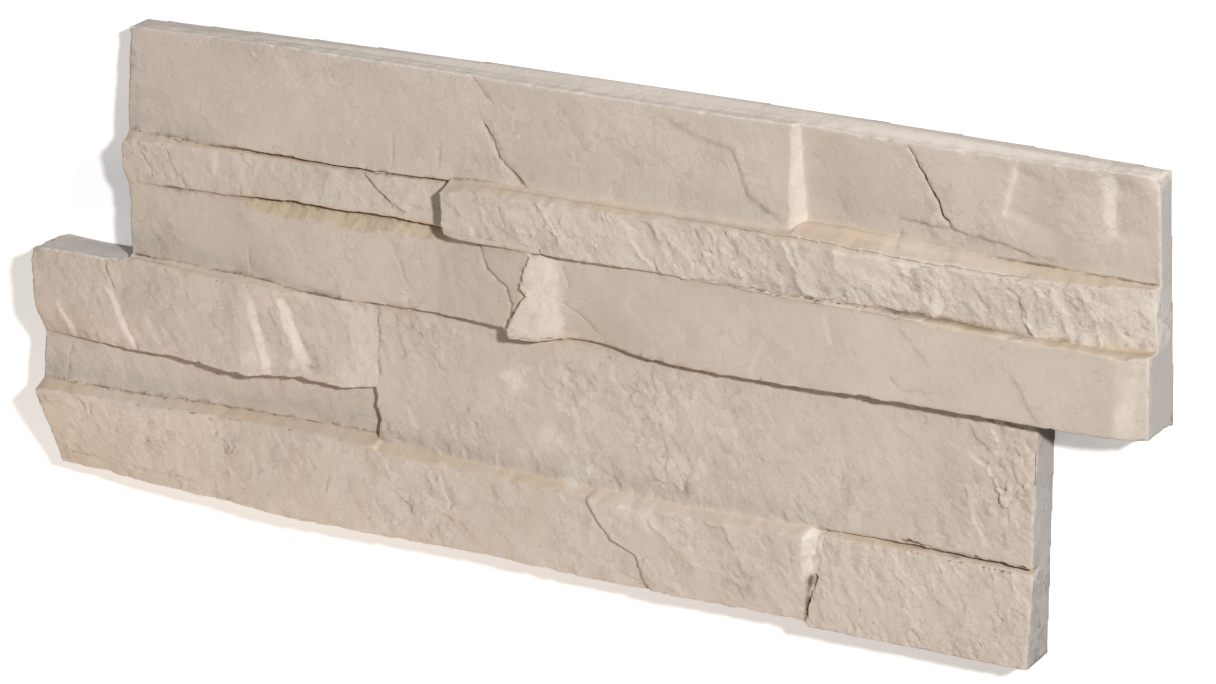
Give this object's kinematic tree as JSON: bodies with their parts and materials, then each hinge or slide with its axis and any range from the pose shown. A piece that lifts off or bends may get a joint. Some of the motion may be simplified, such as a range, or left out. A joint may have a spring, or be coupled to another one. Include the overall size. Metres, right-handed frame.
{
  "type": "stacked-stone wall cladding panel",
  "caption": "Cast-stone wall cladding panel with a Z-shaped interlocking outline, a stepped stacked-stone face and a flat back for bonding to a wall.",
  "frame": {"origin": "middle of the outline's box, on the flat back face that it lies on", "axes": "+X along the wall, +Y up the wall, +Z out of the wall through the stone face"},
  "size_m": [0.515, 0.2036, 0.028],
  "materials": {
    "cast_stone": "matte"
  },
  "bodies": {
    "root": {"cladding_panel": "cast_stone"}
  },
  "joints": []
}
